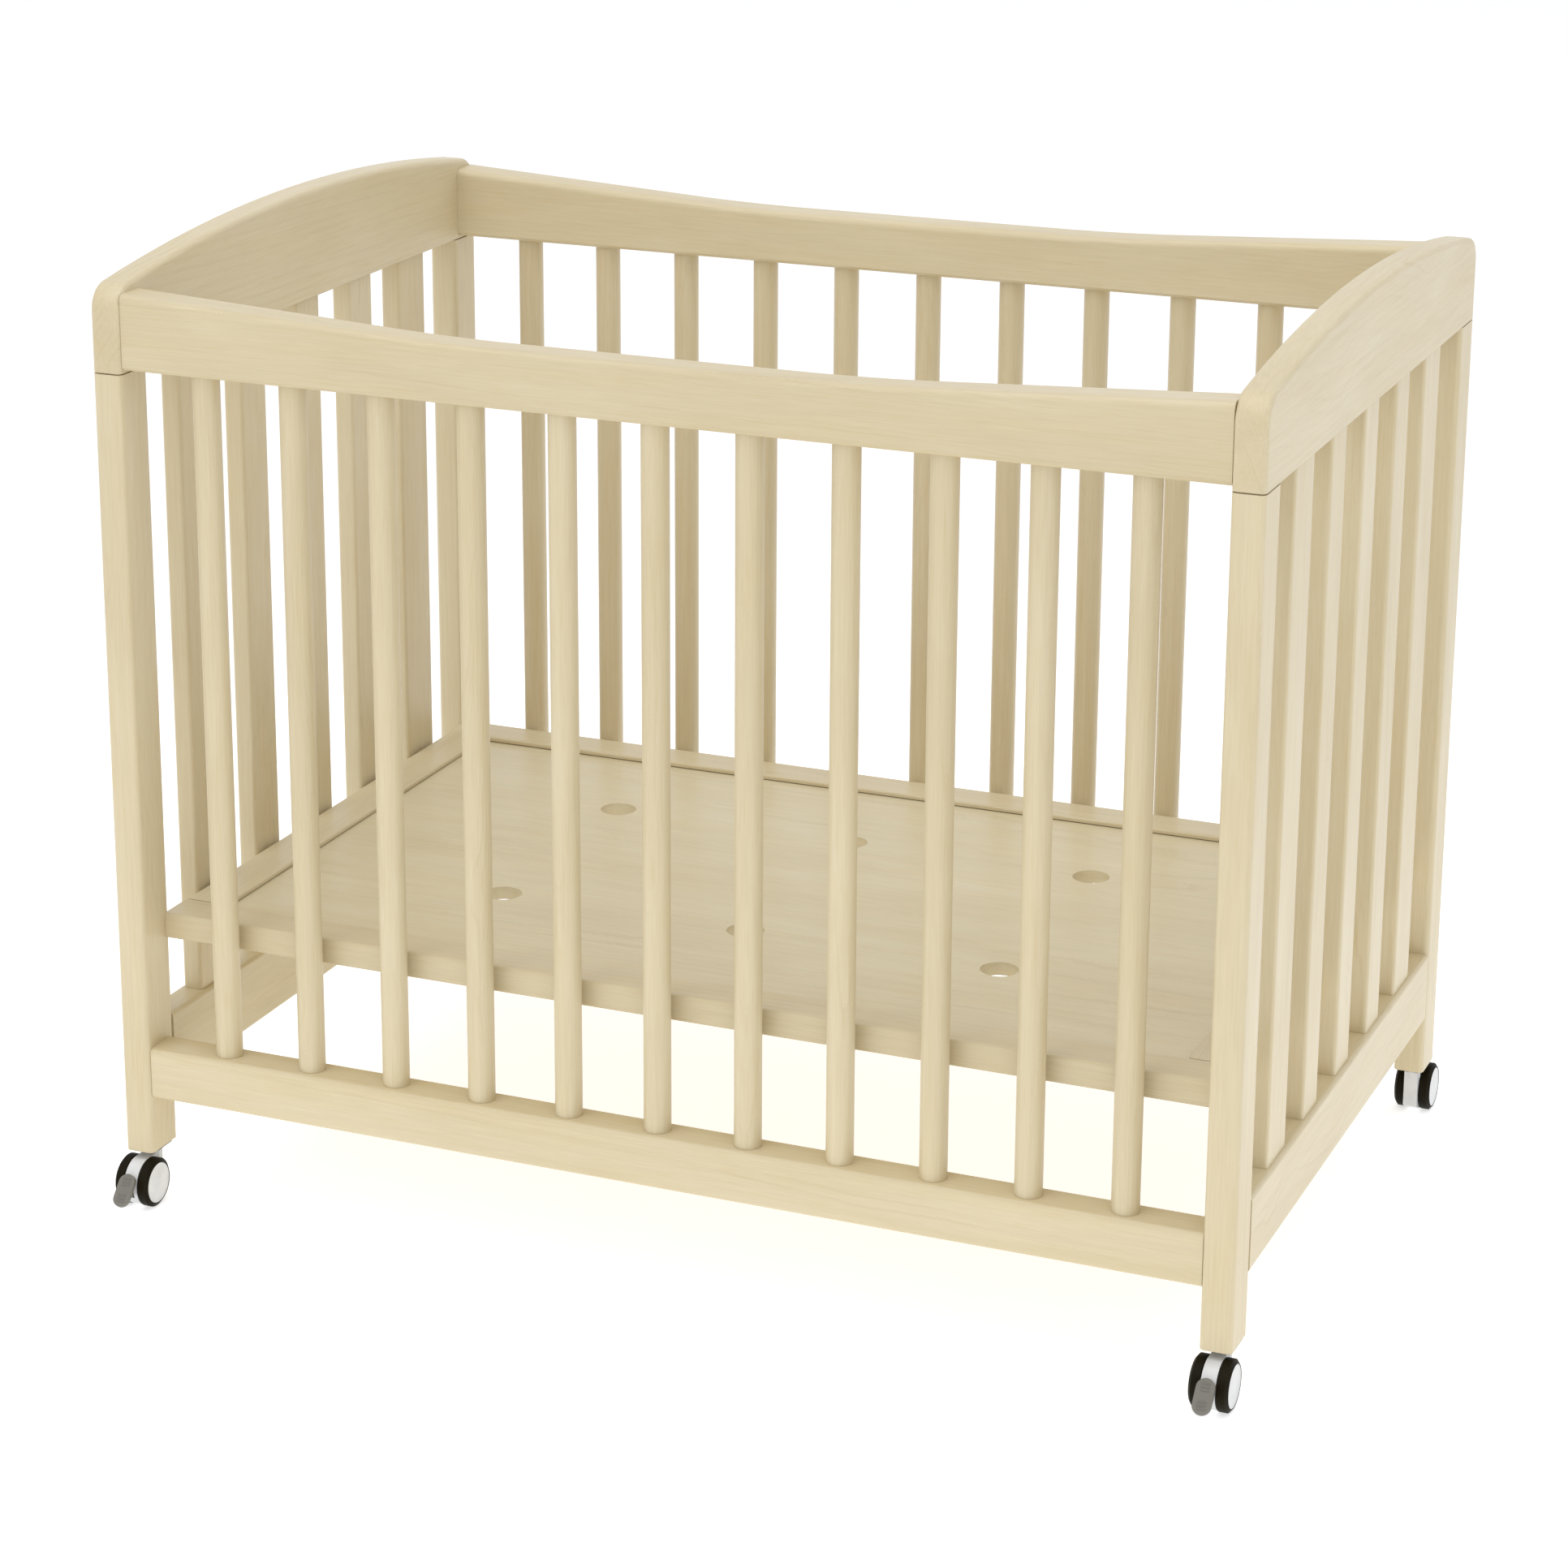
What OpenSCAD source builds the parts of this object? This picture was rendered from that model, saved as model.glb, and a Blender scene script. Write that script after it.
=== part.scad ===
// Slatted wooden playpen on four swivel casters.
// Origin: on the floor under the middle of the frame. X runs along the length,
// Y from the front to the back, Z up. All sizes are in millimetres.

/* [Posts] */
// Length of the frame over the outer faces of the posts
frame_l = 1040; // [1000:4:1080]
// Width of the frame over the front and back faces of the posts
frame_w = 684; // [670:2:700]
// Height of the post tops above the floor
post_top = 776; // [740:2:820]
// Size of a post along the length of the frame
post_x = 28; // [27:0.5:32]
// Size of a post along the width of the frame
post_y = 45; // [44:0.5:48]
// Rounding of the long edges of the posts and of the arches
post_r = 5; // [3:0.5:6]
// Height of the shadow groove between a post and its arch
groove = 1.2; // [0.6:0.2:2]
// Depth of that groove
groove_depth = 2.6; // [1:0.2:2.8]

/* [End panels] */
// Height of the arch above the post tops, in the middle
arch_h = 101; // [95:1:110]
// Radius of the arch's top edge
arch_r = 2184; // [2100:2:2400]
// Radius of the arch's two upper corners
arch_corner_r = 24; // [16:1:28]
// Height of the bottom edge of all the lower rails above the floor
rail_z = 105; // [100:1:115]
// Height of the lower rail of an end panel
end_rail_h = 67; // [60:1:75]
// Thickness of a slat
slat_t = 19; // [18:0.5:20]
// Width of the two outer slats, which carry the base
slat_wide = 55; // [50:1:58]
// Width of the three middle slats
slat_narrow = 45; // [40:1:48]
// Distance from one slat's middle to the next
slat_pitch = 105; // [103:0.5:106]
// Rounding of the slats' long edges
slat_r = 3; // [2:0.5:4]
// Length of the tenons on the slats
slat_tenon = 12; // [8:1:14]

/* [Side panels] */
// Thickness of the front and back rails
rail_t = 36; // [34:1:38]
// Height of the lower front and back rails
rail_h = 48; // [44:1:54]
// Distance of the rails behind the front faces of the posts
rail_setback = 3; // [2:0.5:4]
// Height of the upper rails in the middle of their length
top_rail_h = 50; // [46:1:54]
// Height of the upper rails' bottom edge above the post tops
top_rail_lift = 3; // [2:0.5:5]
// Half the length of the low, level stretch of the upper rails
dip_half = 126; // [100:2:150]
// Radius of the curves at the ends of that stretch
dip_r = 2300; // [2000:50:2500]
// Slope of the upper rails towards the posts, in degrees
dip_slope = 3.1; // [2:0.1:3.2]
// Rounding of the upper rails' top edges
top_edge_r = 6; // [4:0.5:8]
// Rounding of the other rail edges
edge_r = 4; // [2:0.5:5]
// Number of bars in the front and in the back
bars = 11; // [11:1:11]
// Diameter of a bar
bar_d = 24; // [22:1:25]
// Diameter of the tenons on the bars
bar_tenon_d = 16; // [14:1:18]
// Length of the tenons on the bars
bar_tenon = 14; // [10:1:16]

/* [Base] */
// Height of the base frame's top above the floor
base_top = 272; // [240:1:300]
// Thickness of the base frame
base_h = 24; // [23:1:28]
// Width of the base frame's rails
base_rail_w = 40; // [38:1:46]
// Thickness of the base panel
panel_t = 12; // [10:1:13]
// Depth of the panel's top below the top of the base frame
panel_drop = 5; // [4:0.5:6]
// Play above the panel in its groove, which leaves a fine dark line round it
panel_play = 0.8; // [0.4:0.2:1.2]
// Depth of the groove that holds the panel
panel_groove = 6; // [4:0.5:8]
// Diameter of a ventilation hole
vent_d = 34; // [28:1:40]
// Distance between the columns of ventilation holes
vent_pitch_x = 240; // [200:5:280]
// Distance of each row of ventilation holes from the middle
vent_y = 127; // [100:1:150]

/* [Casters] */
// Diameter of a wheel
wheel_d = 45; // [44:0.5:46]
// Width over both wheels of a caster
caster_w = 34; // [33:0.5:36]
// Height of a caster, from the floor to the bottom of its post
caster_h = 51.5; // [50:0.5:54]
// Width of the housing between the wheels
housing_w = 13; // [13:0.5:14]
// Distance of the axle from the swivel axis
trail = 19; // [18:0.5:20]
// Width of a brake pedal
pedal_w = 16; // [15:0.5:18]
// Length of a brake pedal
pedal_l = 31; // [28:0.5:32]
// Slope of a brake pedal from the vertical, in degrees
pedal_tilt = 42; // [38:1:44]

/* [Hidden] */
$fn = 64;
// Segments of the long, shallow arcs
arc_fn = 480;
// Segments round the arches' edges
rim_fn = 32;

inner_l = frame_l - 2 * post_x;
inner_w = frame_w - 2 * post_y;
post_cx = (frame_l - post_x) / 2;
post_cy = (frame_w - post_y) / 2;
rail_y = frame_w / 2 - rail_setback - rail_t / 2;
dip_steps = 4;
bar_pitch = (inner_l + bar_d) / (bars + 1);
top_rail_z = post_top + top_rail_lift;
base_w = 2 * (rail_y - rail_t / 2) + 3;
base_bottom = base_top - base_h;
panel_top = base_top - panel_drop;
slat_inset = (post_x - slat_t) / 2;
slat_widths = [slat_wide, slat_narrow, slat_narrow, slat_narrow, slat_wide];
mortise_wall = 5;
end_rail_top = rail_z + end_rail_h;

// Wooden joint pins and their places
pin_d = 8;
pin_l = 32;
arch_pin_y = 13;
end_pin_low = 18;
end_pin_high = 49;
rail_pin_up = 34;

// Hidden cam connectors between the rails and the end panels
cam_d = 15;
cam_h = 13;
cam_setback = 34;
cam_axis_up = 8.5;
cam_bolt_d = 6;
cam_screw_l = 15;
cam_pocket_d = 7.5;
cam_slot = 1.6;

// Steel pins that carry the base in the outer slats
base_pin_d = 10;
base_pin_l = 40;
base_pin_depth = 14;
fit_gap = 0.05;

// Caster details
wheel_r = wheel_d / 2;
wheel_gap = 0.4;
wheel_w = caster_w / 2 - housing_w / 2 - wheel_gap;
hub_r = 18.5;
tyre_bevel_x = 2.4;
tyre_bevel_r = 3.1;
housing_r = wheel_r - 0.7;
plate_x = 27;
plate_y = 24;
plate_t = 1.2;
stem_d = 8;
stem_l = 24;
pintle_bottom = 28;
neck_d = 14.4;
neck_bottom = 38;
neck_gap = 0.2;
axle_d = 6;
running = 0.05;
insert_d = 11;
insert_l = 26;
pivot_out = trail + 15;
pivot_z = wheel_r - 3.5;
pedal_t = 3.5;
pedal_out = trail + 31.6;
pedal_z = wheel_r + 2;
lug_reach = 3;
lug_w = 5;
lug_h = 8;
trunnion_d = 4;
slot_side_gap = 0.4;

wood = [0.87, 0.80, 0.65];
ply = [0.80, 0.73, 0.57];
steel = [0.72, 0.73, 0.74];
dark = [0.12, 0.12, 0.11];
grey = [0.78, 0.78, 0.76];
mid_grey = [0.55, 0.54, 0.50];

// Name, side along X and side along Y of each corner
CORNERS = [
    ["front_left", -1, -1],
    ["front_right", 1, -1],
    ["back_left", -1, 1],
    ["back_right", 1, 1]
];
ENDS = [["left", -1], ["right", 1]];
SIDES = [["front", -1], ["back", 1]];

// ---- Places ---------------------------------------------------------------

// Puts a corner's pieces in place. They are drawn for the front left corner:
// the origin is under the post's middle, +X and +Y point into the frame.
module at_corner(c) {
    translate([c[1] * post_cx, c[2] * post_cy, 0])
        mirror([c[1] > 0 ? 1 : 0, 0, 0])
            mirror([0, c[2] > 0 ? 1 : 0, 0])
                children();
}

// Puts a caster's pieces in place: -Y points away from the frame
module at_caster(c) {
    translate([c[1] * post_cx, c[2] * post_cy, 0])
        rotate([0, 0, c[2] > 0 ? 180 : 0])
            children();
}

module along_x() rotate([0, 90, 0]) children();
module along_y() rotate([-90, 0, 0]) children();

// Draws a Y-Z outline's solids: its x is world Y, its y is world Z
module as_side_view() rotate([90, 0, 90]) children();

// Draws an X-Z outline's solids, whose thickness is centred on Y
module as_front_view() rotate([90, 0, 0]) children();

// ---- Shared shapes --------------------------------------------------------

module rounded_rect(w, d, r) {
    square([w - 2 * r, d], center = true);
    square([w, d - 2 * r], center = true);
    for (x = [-1, 1], y = [-1, 1])
        translate([x * (w / 2 - r), y * (d / 2 - r)]) circle(r);
}

// A straight bar along X with rounded long edges, on z = 0
module bar_along_x(l, w, h, r) {
    translate([-l / 2, 0, h / 2])
        rotate([90, 0, 90])
            linear_extrude(l) rounded_rect(w, h, r);
}

// A straight bar along Y with rounded long edges, on z = 0
module bar_along_y(l, w, h, r) {
    rotate([0, 0, 90]) bar_along_x(l, w, h, r);
}

// A strip that ends at x = 0 and has two rounded corners there
module edge_strip(depth, w, r) {
    translate([-depth, -w / 2]) square([depth - r, w]);
    translate([-depth, r - w / 2]) square([depth, w - 2 * r]);
    for (s = [-1, 1])
        translate([-r, s * (w / 2 - r)]) circle(r);
}

// The strip drawn out along +X, with its rounded edge upwards along y = 0
module edge_run(l, depth, w, r) {
    rotate([90, 0, 90]) linear_extrude(l) edge_strip(depth, w, r);
}

// ---- Hidden fixings, drawn at one corner, also cut out of the wood ----------

module pins_at_corner(gap) {
    d = pin_d + 2 * gap;
    l = pin_l + 10 * gap;
    for (s = [-1, 1])
        translate([0, s * arch_pin_y, post_top - l / 2]) cylinder(d = d, h = l);
    for (up = [end_pin_low, end_pin_high])
        translate([0, post_y / 2 - l / 2, rail_z + up]) along_y() cylinder(d = d, h = l);
    for (z = [rail_z, top_rail_z])
        translate([post_x / 2 - l / 2, post_cy - rail_y, z + rail_pin_up])
            along_x() cylinder(d = d, h = l);
}

module cam_bolts_at_corner(gap) {
    reach = cam_setback - 2;
    for (z = [rail_z, top_rail_z])
        translate([post_x / 2 - cam_screw_l - gap, post_cy - rail_y, z + cam_axis_up])
            along_x() cylinder(d = cam_bolt_d + 2 * gap, h = cam_screw_l + reach + gap);
}

module cam_blanks_at_corner(gap) {
    for (z = [rail_z, top_rail_z])
        translate([post_x / 2 + cam_setback, post_cy - rail_y, z - gap])
            cylinder(d = cam_d + 2 * gap, h = cam_h + 2 * gap);
}

module cams_at_corner() {
    difference() {
        cam_blanks_at_corner(0);
        for (z = [rail_z, top_rail_z])
            translate([post_x / 2 + cam_setback, post_cy - rail_y, z]) {
                translate([-cam_d, 0, cam_axis_up]) along_x() cylinder(d = cam_pocket_d, h = cam_d + 2);
                for (a = [0, 90])
                    rotate([0, 0, a]) cube([cam_d / 2, cam_slot, 2 * cam_slot], center = true);
            }
    }
}

module base_pins_at_corner(gap) {
    slat_face = post_x / 2 - slat_inset;
    translate([slat_face - base_pin_depth - gap, post_cy - 2 * slat_pitch, base_bottom + base_h / 2])
        along_x() cylinder(d = base_pin_d + 2 * gap, h = base_pin_l + 2 * gap);
}

module fixing_holes() {
    for (c = CORNERS)
        at_corner(c) {
            pins_at_corner(fit_gap);
            cam_bolts_at_corner(fit_gap);
            cam_blanks_at_corner(fit_gap);
        }
}

// ---- End panels -------------------------------------------------------------

module post(c) {
    color(wood)
        difference() {
            at_corner(c) {
                translate([0, 0, caster_h])
                    linear_extrude(post_top - caster_h - groove)
                        rounded_rect(post_x, post_y, post_r);
                translate([0, 0, post_top - groove - 1])
                    linear_extrude(groove + 1)
                        rounded_rect(
                            post_x - 2 * groove_depth,
                            post_y - 2 * groove_depth,
                            post_r - groove_depth
                        );
            }
            fixing_holes();
            at_corner(c)
                translate([0, 0, caster_h - 1]) cylinder(d = insert_d, h = insert_l + 1);
        }
}

// The arch is a wide arc, a tight arc at each corner and a short upright end
arch_cz = post_top + arch_h - arch_r;
corner_y = frame_w / 2 - arch_corner_r;
corner_z = arch_cz + sqrt(pow(arch_r - arch_corner_r, 2) - pow(corner_y, 2));
arch_angle = atan(corner_y / (corner_z - arch_cz));

// The rim that the arch's round edge runs along, one for each face
module arch_rim() {
    translate([0, arch_cz, 0])
        rotate([0, 0, 90 - arch_angle])
            rotate_extrude(angle = 2 * arch_angle, $fn = arc_fn)
                translate([arch_r - post_r, 0]) circle(post_r, $fn = rim_fn);
    for (s = [0, 1])
        mirror([s, 0, 0]) {
            translate([corner_y, corner_z, 0])
                rotate_extrude(angle = 90 - arch_angle, $fn = rim_fn)
                    translate([arch_corner_r - post_r, 0]) circle(post_r, $fn = rim_fn);
            translate([frame_w / 2 - post_r, post_top, 0])
                rotate([-90, 0, 0]) cylinder(r = post_r, h = corner_z - post_top, $fn = rim_fn);
        }
}

module arch_blank() {
    hull()
        for (s = [-1, 1])
            translate([0, 0, s * (post_x / 2 - post_r)]) arch_rim();
}

module arch(side) {
    color(wood)
        difference() {
            translate([side * post_cx, 0, 0]) as_side_view() arch_blank();
            slat_mortises(side);
            fixing_holes();
        }
}

// The pockets for the slats' tenons, in the arch and in the lower end rail
module slat_mortises(side) {
    for (i = [0:4])
        translate([side * post_cx, (i - 2) * slat_pitch, end_rail_top - slat_tenon - fit_gap])
            translate([
                -slat_t / 2 + mortise_wall - fit_gap,
                -slat_widths[i] / 2 + mortise_wall - fit_gap,
                0
            ])
                cube([
                    slat_t - 2 * mortise_wall + 2 * fit_gap,
                    slat_widths[i] - 2 * mortise_wall + 2 * fit_gap,
                    post_top - end_rail_top + 2 * slat_tenon + 2 * fit_gap
                ]);
}

module end_rail(side) {
    color(wood)
        difference() {
            translate([side * post_cx, 0, rail_z]) bar_along_y(inner_w, post_x, end_rail_h, edge_r);
            slat_mortises(side);
            fixing_holes();
        }
}

module slat(side, i) {
    w = slat_widths[i];
    color(wood)
        difference() {
            translate([side * post_cx, (i - 2) * slat_pitch, 0]) {
                translate([0, 0, end_rail_top])
                    linear_extrude(post_top - end_rail_top) rounded_rect(slat_t, w, slat_r);
                translate([-slat_t / 2 + mortise_wall, mortise_wall - w / 2, end_rail_top - slat_tenon])
                    cube([
                        slat_t - 2 * mortise_wall,
                        w - 2 * mortise_wall,
                        post_top - end_rail_top + 2 * slat_tenon
                    ]);
            }
            for (c = CORNERS) at_corner(c) base_pins_at_corner(fit_gap);
        }
}

// ---- Front and back -----------------------------------------------------------

// The solid under an upper rail's top edge: a level run, and sloping runs that
// touch the arc at each end of the level stretch. Its edges are cut as flat strips
module top_rail_runs() {
    top_z = top_rail_z + top_rail_h;
    translate([-inner_l, top_z, 0]) edge_run(2 * inner_l, 2 * top_rail_h, rail_t, top_edge_r);
    for (s = [0, 1], i = [1:dip_steps])
        mirror([s, 0, 0])
            translate([dip_half, top_z + dip_r, 0])
                rotate([0, 0, dip_slope * i / dip_steps])
                    translate([-inner_l, -dip_r, 0])
                        edge_run(2 * inner_l, 2 * top_rail_h, rail_t, top_edge_r);
}

module top_rail(side) {
    bevel = 0.7 * edge_r * sqrt(2);
    color(wood)
        difference() {
            translate([0, side * rail_y, 0])
                intersection() {
                    as_front_view() top_rail_runs($fn = 12);
                    translate([-inner_l / 2, -rail_t, top_rail_z])
                        cube([inner_l, 2 * rail_t, 2 * top_rail_h]);
                }
            for (t = [-1, 1])
                translate([0, side * rail_y + t * rail_t / 2, top_rail_z])
                    rotate([45, 0, 0]) cube([2 * inner_l, bevel, bevel], center = true);
            bar_holes(side);
            fixing_holes();
        }
}

module bottom_rail(side) {
    color(wood)
        difference() {
            translate([0, side * rail_y, rail_z]) bar_along_x(inner_l, rail_t, rail_h, edge_r);
            bar_holes(side);
            fixing_holes();
        }
}

module bar_places(side) {
    for (i = [0:bars - 1])
        translate([(i - (bars - 1) / 2) * bar_pitch, side * rail_y, 0]) children();
}

module bar_holes(side) {
    bar_places(side)
        translate([0, 0, rail_z + rail_h - bar_tenon - fit_gap])
            cylinder(
                d = bar_tenon_d + 2 * fit_gap,
                h = top_rail_z - rail_z - rail_h + 2 * bar_tenon + 2 * fit_gap
            );
}

module bars_of(side) {
    color(wood)
        bar_places(side) {
            translate([0, 0, rail_z + rail_h]) cylinder(d = bar_d, h = top_rail_z - rail_z - rail_h);
            translate([0, 0, rail_z + rail_h - bar_tenon])
                cylinder(d = bar_tenon_d, h = top_rail_z - rail_z - rail_h + 2 * bar_tenon);
        }
}

// ---- Base ---------------------------------------------------------------------

base_edge_r = 2;
tongue_w = 16;

// The groove around the inside of the base frame, which holds the panel
module panel_space(gap, play) {
    l = inner_l - 2 * base_rail_w + 2 * panel_groove;
    w = base_w - 2 * base_rail_w + 2 * panel_groove;
    translate([-l / 2 - gap, -w / 2 - gap, panel_top - panel_t - gap])
        cube([l + 2 * gap, w + 2 * gap, panel_t + gap + play]);
}

// The tongues on both ends of a side rail, which sit in the long rails' groove
module base_tongues(side, gap) {
    for (y = [-1, 1])
        translate([
            side * (inner_l - base_rail_w) / 2,
            y * (base_w / 2 - base_rail_w + panel_groove / 2 - 0.5),
            panel_top - panel_t / 2
        ])
            cube([tongue_w + 2 * gap, panel_groove + 1 + 2 * gap, panel_t + 2 * gap], center = true);
}

module base_rail_long(side) {
    color(wood)
        difference() {
            translate([0, side * (base_w - base_rail_w) / 2, base_bottom])
                bar_along_x(inner_l, base_rail_w, base_h, base_edge_r);
            panel_space(fit_gap, panel_play);
            for (e = ENDS) base_tongues(e[1], fit_gap);
        }
}

module base_rail_short(side) {
    color(wood)
        difference() {
            union() {
                translate([side * (inner_l - base_rail_w) / 2, 0, base_bottom])
                    bar_along_y(base_w - 2 * base_rail_w, base_rail_w, base_h, base_edge_r);
                base_tongues(side, 0);
            }
            panel_space(fit_gap, panel_play);
            for (c = CORNERS) at_corner(c) base_pins_at_corner(fit_gap);
        }
}

module base_panel() {
    color(ply)
        difference() {
            panel_space(0, 0);
            for (x = [-1, 0, 1], y = [-1, 1])
                translate([x * vent_pitch_x, y * vent_y, base_bottom]) cylinder(d = vent_d, h = base_h);
        }
}

module base_pins() {
    color(steel) for (c = CORNERS) at_corner(c) base_pins_at_corner(0);
}

module joint_pins() {
    color(wood) for (c = CORNERS) at_corner(c) pins_at_corner(0);
}

module cam_bolts() {
    color(steel) for (c = CORNERS) at_corner(c) cam_bolts_at_corner(0);
}

module cams() {
    color(steel) for (c = CORNERS) at_corner(c) cams_at_corner();
}

// ---- Casters, each drawn with its swivel axis on the Z axis --------------------

module caster_inserts() {
    color(steel)
        for (c = CORNERS)
            at_caster(c)
                translate([0, 0, caster_h])
                    difference() {
                        cylinder(d = insert_d, h = insert_l);
                        translate([0, 0, -1]) cylinder(d = stem_d + fit_gap, h = stem_l + 2);
                    }
}

module caster_stem(c) {
    color(dark)
        at_caster(c) {
            translate([-plate_x / 2, -plate_y / 2, caster_h - plate_t]) cube([plate_x, plate_y, plate_t]);
            translate([0, 0, pintle_bottom]) cylinder(d = stem_d, h = caster_h + stem_l - pintle_bottom);
        }
}

// The housing from the side: round about the axle, square behind the stem
module housing_outline() {
    back = neck_d / 2 - 0.4;
    top = wheel_r + housing_r;
    intersection() {
        translate([-trail, wheel_r]) circle(housing_r);
        translate([-trail - housing_r, 2]) square([housing_r + 1, top]);
    }
    polygon([[-trail, 2], [-trail / 3, 3], [back, 10], [back, top], [-trail, top]]);
}

module caster_housing(c) {
    slot_w = lug_w + 2 * slot_side_gap;
    color(grey)
        at_caster(c)
            difference() {
                union() {
                    as_side_view() linear_extrude(housing_w, center = true) housing_outline();
                    translate([0, 0, neck_bottom])
                        cylinder(d = neck_d, h = caster_h - plate_t - neck_gap - neck_bottom);
                }
                translate([0, 0, pintle_bottom - 1]) cylinder(d = stem_d + 2 * running, h = caster_h);
                translate([-housing_w, -trail, wheel_r])
                    along_x() cylinder(d = axle_d + 2 * running, h = 2 * housing_w);
                translate([-housing_w, -pivot_out, pivot_z])
                    along_x() cylinder(d = trunnion_d + 2 * running, h = 2 * housing_w);
                translate([-slot_w / 2, -trail - housing_r - 1, pivot_z - lug_h * 0.8])
                    cube([slot_w, trail + housing_r + 1 - pivot_out + lug_h * 0.6, lug_h * 1.6]);
            }
}

module caster_axle(c) {
    axle_l = caster_w - 4;
    color(steel)
        at_caster(c)
            translate([-axle_l / 2, -trail, wheel_r]) along_x() cylinder(d = axle_d, h = axle_l);
}

// Both sides of a wheel pair: children are drawn about +X from the housing outwards
module both_wheels() {
    for (s = [0, 1])
        mirror([s, 0, 0])
            translate([housing_w / 2 + wheel_gap, -trail, wheel_r]) rotate([90, 0, 90]) children();
}

module caster_hubs(c) {
    rim = 0.9;
    color(grey)
        at_caster(c)
            both_wheels()
                difference() {
                    rotate_extrude()
                        polygon([
                            [0, 0],
                            [hub_r, 0],
                            [hub_r, wheel_w - 0.2],
                            [hub_r - rim, wheel_w - 0.2],
                            [hub_r - 2 * rim, wheel_w - 0.8],
                            [0, wheel_w - 0.6]
                        ]);
                    translate([0, 0, -1]) cylinder(d = axle_d, h = wheel_w - 1);
                }
}

module caster_tyres(c) {
    color(dark)
        at_caster(c)
            both_wheels()
                rotate_extrude()
                    polygon([
                        [hub_r + fit_gap / 2, 0.2],
                        [wheel_r - 0.6, 0.2],
                        [wheel_r, 0.8],
                        [wheel_r, wheel_w - tyre_bevel_x],
                        [wheel_r - tyre_bevel_r, wheel_w],
                        [hub_r + fit_gap / 2, wheel_w]
                    ]);
}

module caster_pedal(c) {
    straight = pedal_l - pedal_w;
    rib_l = pedal_w * 0.45;
    rib_pitch = 3;
    rib_h = 0.5;
    color(mid_grey)
        at_caster(c) {
            translate([0, -pedal_out, pedal_z])
                rotate([90 - pedal_tilt, 0, 0]) {
                    linear_extrude(pedal_t, center = true) {
                        square([pedal_w, straight], center = true);
                        for (s = [-1, 1]) translate([0, s * straight / 2]) circle(d = pedal_w);
                    }
                    for (s = [-1, 1], i = [-1:1])
                        translate([0, s * straight * 0.52 + i * rib_pitch, pedal_t / 2])
                            cube([rib_l, 1, 2 * rib_h], center = true);
                }
            translate([-lug_w / 2, -pedal_out - lug_reach, pivot_z - lug_h / 2])
                cube([lug_w, pedal_out + lug_reach - pivot_out, lug_h]);
            translate([-lug_w / 2, -pivot_out, pivot_z]) along_x() cylinder(d = lug_h, h = lug_w);
            translate([0.3 - housing_w / 2, -pivot_out, pivot_z])
                along_x() cylinder(d = trunnion_d, h = housing_w - 0.6);
        }
}

// ---- Assembly -------------------------------------------------------------------

for (c = CORNERS) {
    post(c);
    caster_stem(c);
    caster_housing(c);
    caster_axle(c);
    caster_hubs(c);
    caster_tyres(c);
    caster_pedal(c);
}
for (e = ENDS) {
    arch(e[1]);
    end_rail(e[1]);
    base_rail_short(e[1]);
    for (i = [0:4])
        slat(e[1], i);
}
for (s = SIDES) {
    top_rail(s[1]);
    bottom_rail(s[1]);
    bars_of(s[1]);
    base_rail_long(s[1]);
}
base_panel();
base_pins();
joint_pins();
cam_bolts();
cams();
caster_inserts();
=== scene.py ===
"""Playpen: materials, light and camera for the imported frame."""
import math

import bpy
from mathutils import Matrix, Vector

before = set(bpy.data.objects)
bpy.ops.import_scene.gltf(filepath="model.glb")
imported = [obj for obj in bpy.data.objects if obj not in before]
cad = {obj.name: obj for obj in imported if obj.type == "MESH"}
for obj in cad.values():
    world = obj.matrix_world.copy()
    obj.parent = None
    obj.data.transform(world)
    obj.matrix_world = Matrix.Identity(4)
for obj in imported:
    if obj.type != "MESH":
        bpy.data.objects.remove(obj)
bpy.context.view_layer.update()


# ---- Node graph helpers -------------------------------------------------


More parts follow.
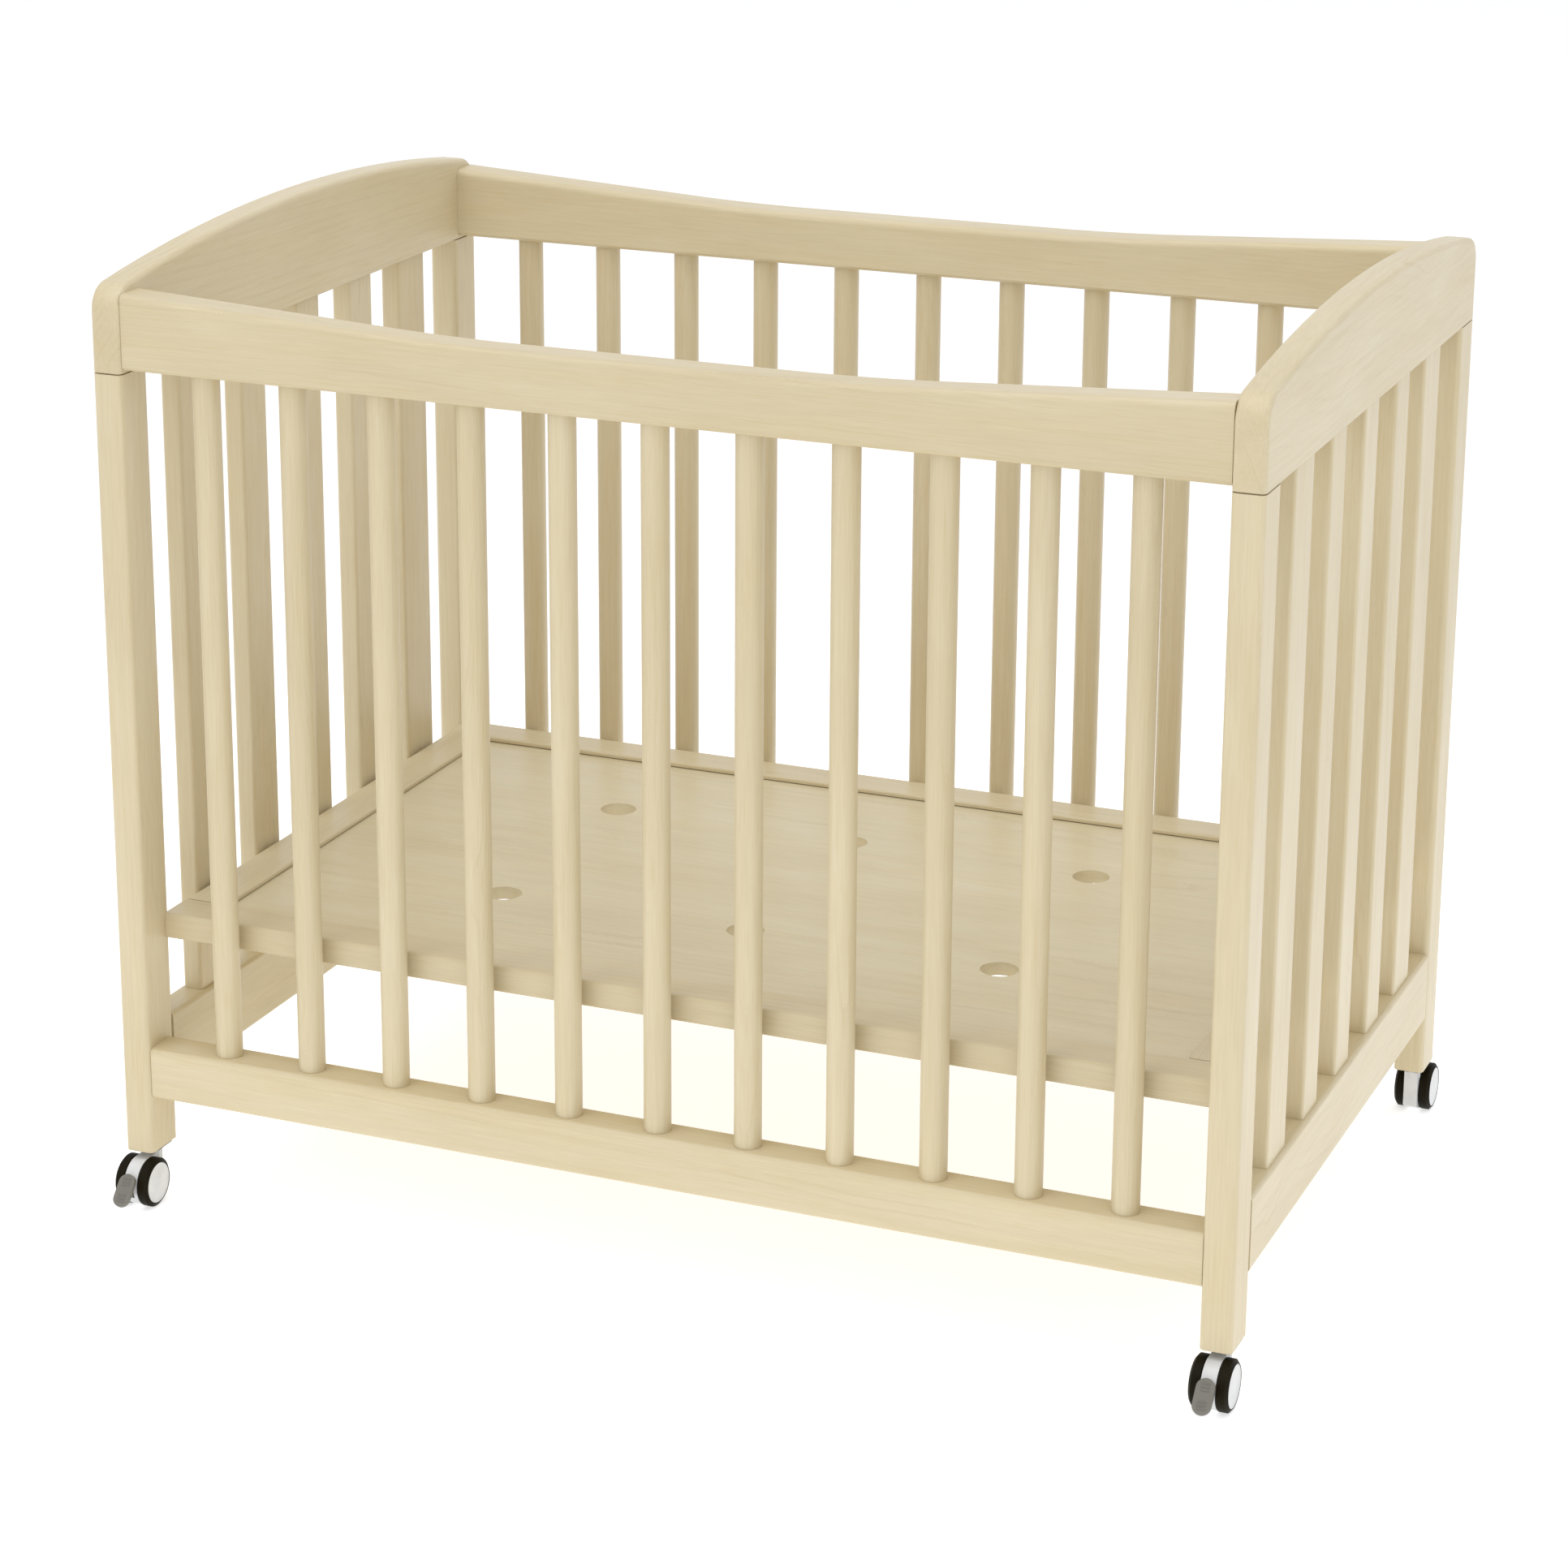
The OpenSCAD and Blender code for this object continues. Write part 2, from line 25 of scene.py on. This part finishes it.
class Graph:
    """A material's node tree, built by small calls that return sockets."""

    def __init__(self, name):
        self.material = bpy.data.materials.new(name)
        self.material.use_nodes = True
        self.tree = self.material.node_tree
        self.shader = self.tree.nodes["Principled BSDF"]

    def node(self, kind, inputs=(), **settings):
        made = self.tree.nodes.new(kind)
        for key, value in settings.items():
            setattr(made, key, value)
        for key, value in dict(inputs).items():
            self.feed(made.inputs[key], value)
        return made

    def feed(self, socket, value):
        if isinstance(value, bpy.types.NodeSocket):
            self.tree.links.new(value, socket)
        else:
            socket.default_value = value

    def math(self, operation, a, b=0.0, c=0.0):
        made = self.node("ShaderNodeMath", {0: a, 1: b, 2: c}, operation=operation)
        return made.outputs[0]

    def vector(self, operation, a, b=(0.0, 0.0, 0.0)):
        made = self.node("ShaderNodeVectorMath", {0: a, 1: b}, operation=operation)
        gives_number = operation in ("DOT_PRODUCT", "LENGTH")
        return made.outputs["Value" if gives_number else "Vector"]

    def join(self, x, y, z):
        return self.node("ShaderNodeCombineXYZ", {0: x, 1: y, 2: z}).outputs[0]

    def noise(self, vector, scale, detail=2.0, roughness=0.5, distortion=0.0):
        made = self.node(
            "ShaderNodeTexNoise",
            {
                "Vector": vector,
                "Scale": scale,
                "Detail": detail,
                "Roughness": roughness,
                "Distortion": distortion,
            },
        )
        return made.outputs["Fac"]

    def spread(self, value, from_low, from_high, to_low=0.0, to_high=1.0):
        made = self.node(
            "ShaderNodeMapRange",
            {
                "Value": value,
                "From Min": from_low,
                "From Max": from_high,
                "To Min": to_low,
                "To Max": to_high,
            },
        )
        return made.outputs["Result"]

    def ramp(self, value, stops):
        made = self.node("ShaderNodeValToRGB", {"Fac": value})
        elements = made.color_ramp.elements
        while len(elements) < len(stops):
            elements.new(0.5)
        for element, (place, colour) in zip(elements, stops):
            element.position = place
            element.color = (*colour, 1.0)
        return made.outputs["Color"]

    def mix(self, factor, a, b, blend="MIX"):
        made = self.node("ShaderNodeMix", data_type="RGBA", blend_type=blend)
        for index, value in ((0, factor), (6, a), (7, b)):
            if not isinstance(value, bpy.types.NodeSocket) and index:
                value = (*value, 1.0)
            self.feed(made.inputs[index], value)
        return made.outputs[2]

    def tinted(self, amount, colour, tint):
        """The colour, multiplied by the tint as far as amount says."""
        return self.mix(amount, colour, self.mix(1.0, colour, tint, "MULTIPLY"))

    def constants(self, **values):
        """Constants straight onto the shader: Coat_Weight=0.2 sets Coat Weight."""
        for key, value in values.items():
            self.shader.inputs[key.replace("_", " ")].default_value = value

    def surface(self, colour, roughness, height, normal, strength, depth):
        """Colour, roughness and fine relief into the shader."""
        self.feed(self.shader.inputs["Base Color"], colour)
        self.feed(self.shader.inputs["Roughness"], roughness)
        bump = self.node(
            "ShaderNodeBump",
            {"Strength": strength, "Distance": depth, "Height": height, "Normal": normal},
        )
        self.feed(self.shader.inputs["Normal"], bump.outputs[0])

    def edge_and_soft_normal(self, radius):
        """Softened normal, and how much it differs from the true one: 1 at sharp edges."""
        soft = self.node("ShaderNodeBevel", {"Radius": radius}, samples=4).outputs[0]
        true = self.node("ShaderNodeNewGeometry").outputs["Normal"]
        edge = self.math("SUBTRACT", 1.0, self.vector("DOT_PRODUCT", soft, true))
        return soft, self.spread(edge, 0.02, 0.30)


def srgb(red, green, blue):
    def linear(c):
        c /= 255
        return c / 12.92 if c <= 0.04045 else ((c + 0.055) / 1.055) ** 2.4

    return tuple(linear(c) for c in (red, green, blue))


# ---- Wood ---------------------------------------------------------------

PALE = srgb(217, 205, 173)
DEEP = srgb(193, 177, 138)
BOARD_PALE = srgb(217, 207, 176)
BOARD_DEEP = srgb(194, 179, 142)
WOOD_EDGE = 0.0009  # rounding of a worn wooden edge, in metres
BASE_TONE = 0.09  # where clear wood sits between light (0) and dark (1)
WARM_FLECK = (0.985, 0.945, 0.870)
WARM_CAST = (1.0, 0.965, 0.885)
DARKER_BOARD = (0.93, 0.915, 0.885)
END_GRAIN = (0.80, 0.74, 0.66)


def wood(name, grain_axis, pith, ring_width, light=PALE, dark=DEEP, figure=0.22, taper=0.02):
    """Pale lacquered wood whose grain runs along one axis of the part.

    pith is how far the middle of the tree lies from the piece, across the grain.
    figure is how strongly the rings show, and taper how fast they run out.
    """
    g = Graph(name)

    def times(value, factor):
        return g.math("MULTIPLY", value, factor)

    def drawn_out(lengthwise, crosswise):
        """Coordinates for a texture drawn out along the grain."""
        return g.join(times(along, lengthwise), times(across, crosswise), times(deep, crosswise))

    place = g.node("ShaderNodeTexCoord")
    seed = g.math(
        "ADD",
        g.node("ShaderNodeObjectInfo").outputs["Random"],
        times(g.node("ShaderNodeNewGeometry").outputs["Random Per Island"], 1.7),
    )
    parts = g.node("ShaderNodeSeparateXYZ", {0: place.outputs["Object"]}).outputs
    order = {"X": (0, 1, 2), "Y": (1, 0, 2), "Z": (2, 0, 1)}[grain_axis]
    along, across, deep = (parts[i] for i in order)
    shift = times(seed, 13.7)
    along = g.math("ADD", along, shift)

    # slow wander of the rings, then their distance from the pith
    wander = g.noise(g.join(times(along, 2.2), times(across, 9.0), shift), 1.3, 3.0)
    bend = times(g.math("SUBTRACT", wander, 0.5), 0.060)
    turn = times(g.math("FRACT", times(seed, 7.31)), 0.05)
    from_pith = g.vector(
        "LENGTH",
        g.join(
            g.math("ADD", g.math("ADD", across, bend), g.math("SUBTRACT", turn, 0.025)),
            g.math("ADD", g.math("ADD", deep, pith), bend),
            0.0,
        ),
    )
    waver = g.noise(g.join(times(along, 7.0), across, deep), 30.0, 2.0)
    rings = g.math("DIVIDE", g.math("MULTIPLY_ADD", along, taper, from_pith), ring_width)
    rings = g.math("MULTIPLY_ADD", waver, 0.5, rings)

    # each ring darkens slowly and ends at once; some show more, and in patches
    tooth = g.math("FRACT", rings)
    line = times(g.spread(tooth, 0.62, 0.93), g.spread(tooth, 1.0, 0.95))
    which = g.noise(g.join(g.math("FLOOR", rings), shift, 0.0), 3.1, 0.0)
    patch = g.noise(drawn_out(5.0, 22.0), 1.0, 1.0)
    line = times(line, g.spread(which, 0.35, 0.70, 0.15, 1.0))
    line = times(line, g.spread(patch, 0.38, 0.62, 0.10, 1.0))

    # fibres, coarse and fine, short flecks and soft blotches
    coarse = g.noise(drawn_out(7.0, 260.0), 1.0, 4.0, 0.62, 0.3)
    fine = g.noise(drawn_out(24.0, 620.0), 1.0, 2.0, 0.6)
    flecks = g.spread(g.noise(drawn_out(34.0, 640.0), 1.0, 0.0), 0.64, 0.73)
    broad = g.noise(drawn_out(4.0, 16.0), 1.0, 3.0, 0.55, 0.6)

    tone = g.math("MULTIPLY_ADD", line, figure, BASE_TONE)
    for texture, low, high, weight in (
        (coarse, 0.28, 0.72, 0.20),
        (fine, 0.30, 0.70, 0.18),
        (broad, 0.32, 0.68, 0.24),
    ):
        tone = g.math("MULTIPLY_ADD", g.spread(texture, low, high), weight, tone)
    middle = tuple((a + b) / 2 for a, b in zip(light, dark))
    colour = g.ramp(tone, [(0.05, light), (0.55, middle), (1.0, dark)])
    colour = g.tinted(times(flecks, 0.55), colour, WARM_FLECK)

    # a warm cast drifts over the surface, and each board has its own tone
    cast = g.noise(drawn_out(3.0, 30.0), 1.7, 2.0)
    colour = g.tinted(g.spread(cast, 0.40, 0.75, 0.0, 0.55), colour, WARM_CAST)
    own = g.math("FRACT", times(seed, 3.77))
    colour = g.tinted(g.spread(own, 0.0, 1.0, 0.0, 0.55), colour, DARKER_BOARD)

    # edges rubbed lighter, end grain darker
    soft, edge = g.edge_and_soft_normal(WOOD_EDGE)
    rubbed = tuple(min(1, c * 1.10) for c in light)
    colour = g.mix(times(edge, 0.22), colour, rubbed)
    normal = g.node("ShaderNodeSeparateXYZ", {0: place.outputs["Normal"]}).outputs
    end_grain = g.math("POWER", g.math("ABSOLUTE", normal[order[0]]), 6.0)
    colour = g.tinted(times(end_grain, 0.20), colour, END_GRAIN)

    roughness = g.spread(g.math("ADD", coarse, broad), 0.6, 1.4, 0.36, 0.50)
    relief = g.math("ADD", times(coarse, 0.6), times(fine, 0.4))
    g.surface(colour, roughness, relief, soft, strength=0.25, depth=0.00012)
    g.constants(Coat_Weight=0.22, Coat_Roughness=0.24, Specular_IOR_Level=0.4)
    return g.material


post_wood = wood("Wood upright", "Z", pith=0.075, ring_width=0.0042)
slat_wood = wood("Wood slat", "Z", pith=0.06, ring_width=0.0048)
bar_wood = wood("Wood bar", "Z", pith=0.05, ring_width=0.0038, figure=0.20)
arch_wood = wood("Wood arch", "Y", pith=-0.43, ring_width=0.0060, figure=0.26, taper=0.03)
end_wood = wood("Wood end rail", "Y", pith=0.05, ring_width=0.0045)
rail_wood = wood("Wood rail", "X", pith=0.08, ring_width=0.0045)
board_wood = wood(
    "Plywood",
    "X",
    pith=0.02,
    ring_width=0.0110,
    light=BOARD_PALE,
    dark=BOARD_DEEP,
    figure=0.26,
    taper=0.03,
)


# ---- Metal, plastic and rubber -------------------------------------------

PLASTIC_EDGE = 0.0004  # rounding of a moulded or plated edge, in metres


def plain_surface(
    name,
    colour,
    rough,
    metallic=0.0,
    grit=900.0,
    relief=0.00003,
    vary=0.08,
    edge_wear_and_highlight=0.25,
    specular=0.5,
):
    """Moulded or plated surface: fine grit, faint blotches and edges painted brighter, partly as
    wear and partly as a painted highlight.
    """
    g = Graph(name)
    place = g.node("ShaderNodeTexCoord").outputs["Object"]
    fine = g.noise(place, grit, 3.0, 0.6)
    blotch = g.noise(place, 45.0, 3.0, 0.6)
    scratch = g.noise(g.vector("MULTIPLY", place, (60.0, 900.0, 240.0)), 1.0, 2.0, 0.7)
    darker = tuple(c * (1 - vary) for c in colour)
    lighter = tuple(min(1.0, c * (1 + vary)) for c in colour)
    base = g.mix(g.spread(blotch, 0.30, 0.70), darker, lighter)
    base = g.mix(g.math("MULTIPLY", g.spread(fine, 0.35, 0.75), 0.25), base, lighter)
    soft, edge = g.edge_and_soft_normal(PLASTIC_EDGE)
    # edges painted brighter: wear at a small lift, a painted highlight at a large one, as on the
    # tyre
    wear_and_highlight_colour = tuple(min(1.0, c * (1 + edge_wear_and_highlight) + 0.01) for c in colour)
    base = g.mix(g.math("MULTIPLY", edge, 0.6), base, wear_and_highlight_colour)
    marks = g.math("ADD", scratch, blotch)
    roughness = g.spread(marks, 0.6, 1.4, rough - 0.06, rough + 0.08)
    g.surface(base, roughness, fine, soft, strength=0.35, depth=relief)
    g.constants(Metallic=metallic, Specular_IOR_Level=specular)
    return g.material


steel = plain_surface(
    "Zinc plated steel", (0.60, 0.60, 0.61), 0.30, metallic=1.0, grit=500.0, relief=0.00002
)
stem_steel = plain_surface(
    "Dark plated steel", (0.09, 0.09, 0.09), 0.38, metallic=0.6, grit=500.0, relief=0.00002
)
caster_grey = plain_surface("Silver grey plastic", srgb(214, 215, 214), 0.38, grit=1400.0)
pedal_grey = plain_surface("Mid grey plastic", srgb(111, 108, 99), 0.46, grit=1400.0)
tyre_black = plain_surface(
    "Tyre rubber",
    (0.0095, 0.0070, 0.0018),
    0.50,
    grit=1100.0,
    relief=0.00004,
    vary=0.30,
    # the tyre's edges are painted about three times brighter: mostly a painted highlight
    edge_wear_and_highlight=2.0,
    specular=0.09,
)

# the first prefix that fits a piece's name gives its material
BY_NAME = [
    ("post_", post_wood),
    ("arch_", arch_wood),
    ("end_rail_", end_wood),
    ("slat_", slat_wood),
    ("top_rail_", rail_wood),
    ("bottom_rail_", rail_wood),
    ("bars_", bar_wood),
    ("base_rail_front", rail_wood),
    ("base_rail_back", rail_wood),
    ("base_rail_", end_wood),
    ("base_panel", board_wood),
    ("joint_pins", post_wood),
    ("caster_stem_", stem_steel),
    ("caster_housing_", caster_grey),
    ("caster_hubs_", caster_grey),
    ("caster_tyres_", tyre_black),
    ("caster_pedal_", pedal_grey),
    ("", steel),
]


# ---- Smooth shading -------------------------------------------------------

WELD = 0.00001  # vertices this close are one, in metres
SHARP_EDGE = math.radians(36)
FACE_WEIGHT = 90  # how far large faces decide the normals beside them


def smoothing():
    """Joins the faces of each piece and shades all but its sharp edges smoothly."""
    group = bpy.data.node_groups.new("Smooth by angle", "GeometryNodeTree")
    group.interface.new_socket("Geometry", in_out="INPUT", socket_type="NodeSocketGeometry")
    group.interface.new_socket("Geometry", in_out="OUTPUT", socket_type="NodeSocketGeometry")
    new, link = group.nodes.new, group.links.new
    start, end = new("NodeGroupInput"), new("NodeGroupOutput")
    weld = new("GeometryNodeMergeByDistance")
    weld.inputs["Distance"].default_value = WELD
    faces, edges = new("GeometryNodeSetShadeSmooth"), new("GeometryNodeSetShadeSmooth")
    edges.domain = "EDGE"
    edges.inputs["Shade Smooth"].default_value = False
    angle, sharp = new("GeometryNodeInputMeshEdgeAngle"), new("FunctionNodeCompare")
    sharp.operation = "GREATER_THAN"
    sharp.inputs[1].default_value = SHARP_EDGE
    link(start.outputs[0], weld.inputs["Geometry"])
    link(weld.outputs[0], faces.inputs["Geometry"])
    link(faces.outputs[0], edges.inputs["Geometry"])
    link(angle.outputs["Unsigned Angle"], sharp.inputs[0])
    link(sharp.outputs[0], edges.inputs["Selection"])
    link(edges.outputs[0], end.inputs[0])
    return group


smooth = smoothing()
for name, piece in cad.items():
    finish = next(material for prefix, material in BY_NAME if name.startswith(prefix))
    piece.data.materials.clear()
    piece.data.materials.append(finish)
    if "custom_normal" in piece.data.attributes:
        piece.data.attributes.remove(piece.data.attributes["custom_normal"])
    piece.modifiers.new("Smooth", "NODES").node_group = smooth
    flat = piece.modifiers.new("Flat faces first", "WEIGHTED_NORMAL")
    flat.keep_sharp = True
    flat.weight = FACE_WEIGHT


# ---- Floor, light and camera ----------------------------------------------

scene = bpy.context.scene
scene.view_settings.view_transform = "Standard"
scene.view_settings.look = "None"

FLOOR_SIZE = 80
FLOOR_SHADES = (0.74, 0.74, 0.74), (0.77, 0.77, 0.77)
# the floor glows more under the object, which hides its shadow, than further out
GLOW_INNER, GLOW_OUTER = 0.8, 2.2
GLOW_NEAR, GLOW_FAR = 0.60, 0.31

bpy.ops.mesh.primitive_plane_add(size=FLOOR_SIZE, location=(0, 0, 0))
floor = bpy.context.object
floor.name = "Studio floor"
studio = Graph("Studio floor")
spot = studio.node("ShaderNodeTexCoord").outputs["Object"]
reach = studio.vector("LENGTH", spot)
glow = studio.spread(reach, GLOW_INNER, GLOW_OUTER, GLOW_NEAR, GLOW_FAR)
studio.feed(studio.shader.inputs["Emission Strength"], glow)
haze = studio.noise(spot, 0.8, 2.0)
studio.feed(studio.shader.inputs["Base Color"], studio.mix(haze, *FLOOR_SHADES))
studio.constants(Roughness=0.8, Emission_Color=(1.0, 1.0, 1.0, 1.0), Specular_IOR_Level=0.2)
floor.data.materials.append(studio.material)

SKY_COLOUR = (0.955, 0.960, 1.0, 1.0)
SKY_STRENGTH = 0.86
world = bpy.data.worlds.new("Studio")
scene.world = world
world.use_nodes = True
sky = world.node_tree.nodes["Background"].inputs
sky["Color"].default_value = SKY_COLOUR
sky["Strength"].default_value = SKY_STRENGTH


def softbox(name, place, target, size, power, colour=(1.0, 1.0, 1.0)):
    """Rectangular lamp at place, turned to the target; power in watts."""
    lamp = bpy.data.lights.new(name, "AREA")
    lamp.shape = "RECTANGLE"
    lamp.size, lamp.size_y = size
    lamp.energy = power
    lamp.color = colour
    holder = bpy.data.objects.new(name, lamp)
    scene.collection.objects.link(holder)
    holder.location = place
    holder.rotation_mode = "QUATERNION"
    holder.rotation_quaternion = (Vector(target) - Vector(place)).to_track_quat("-Z", "Y")


WARM, COOL = (1.0, 0.975, 0.90), (0.93, 0.97, 1.0)
softbox("Key", (-3.6, -5.2, 6.4), (0, 0, 0.4), (5.0, 4.0), 76, WARM)
softbox("Fill", (6.4, -1.6, 3.2), (0, 0, 0.4), (4.0, 4.0), 17, COOL)
softbox("Top", (0.2, -1.6, 8.0), (0, 0.2, 0.4), (6.0, 6.0), 186)

CAMERA_PLACE = (1.333, -3.312, 1.586)
FOCAL_LENGTH, SENSOR_WIDTH = 94.8, 36  # in mm
LENS_SHIFT = 0.05, -0.10
CLIP_RANGE = 0.05, 200
azimuth, elevation = math.radians(23.30), math.radians(16.71)
away = Vector(
    (
        math.sin(azimuth) * math.cos(elevation),
        -math.cos(azimuth) * math.cos(elevation),
        math.sin(elevation),
    )
)
lens = bpy.data.cameras.new("Camera")
camera = bpy.data.objects.new("Camera", lens)
scene.collection.objects.link(camera)
scene.camera = camera
camera.location = CAMERA_PLACE
camera.rotation_mode = "QUATERNION"
camera.rotation_quaternion = (-away).to_track_quat("-Z", "Y")
lens.sensor_width = SENSOR_WIDTH
lens.lens = FOCAL_LENGTH
lens.shift_x, lens.shift_y = LENS_SHIFT
lens.clip_start, lens.clip_end = CLIP_RANGE
